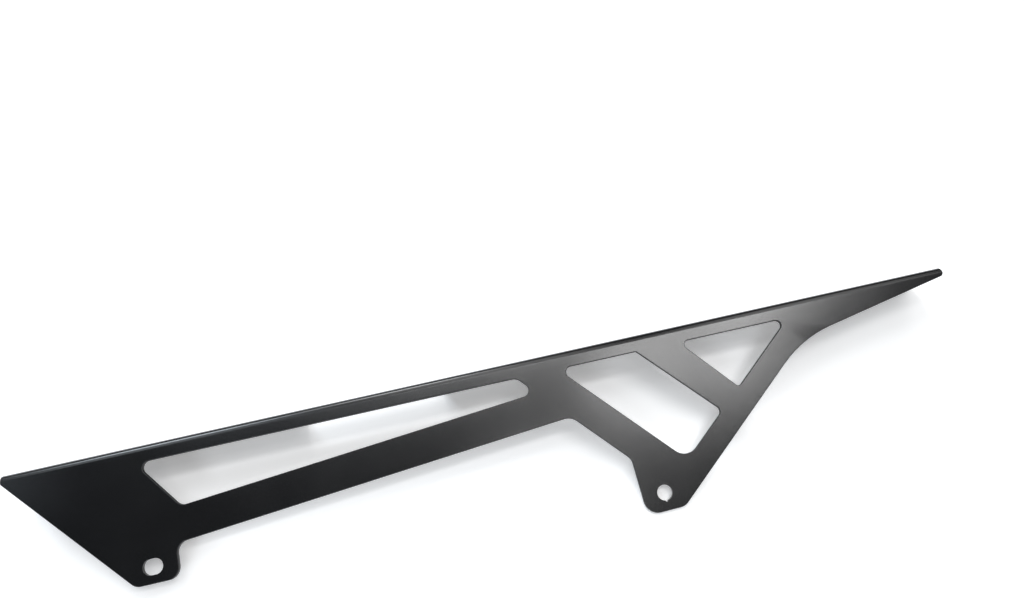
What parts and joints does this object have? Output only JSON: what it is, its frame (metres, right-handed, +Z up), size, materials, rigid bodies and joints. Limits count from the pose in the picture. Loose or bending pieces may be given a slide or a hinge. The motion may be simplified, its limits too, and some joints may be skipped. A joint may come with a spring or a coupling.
{
  "type": "motorcycle chain guard",
  "caption": "Folded sheet-metal guard that covers the side and top of a motorcycle's drive chain, with a windowed side plate, a pointed rear end and lugs for bolting to the swingarm.",
  "frame": {"origin": "centre of the bounding box's bottom face, on the ground that the guard rests on", "axes": "+X along the fold to the pointed rear end, +Y from the lugs to the flange, +Z up, with the guard as it comes to rest on the flange's free edge and the rear lug's foot"},
  "size_m": [0.4282, 0.0828, 0.0286],
  "materials": {
    "guard": "satin black powder coat on aluminium sheet"
  },
  "bodies": {
    "root": {"chain_guard": "guard"}
  },
  "joints": []
}
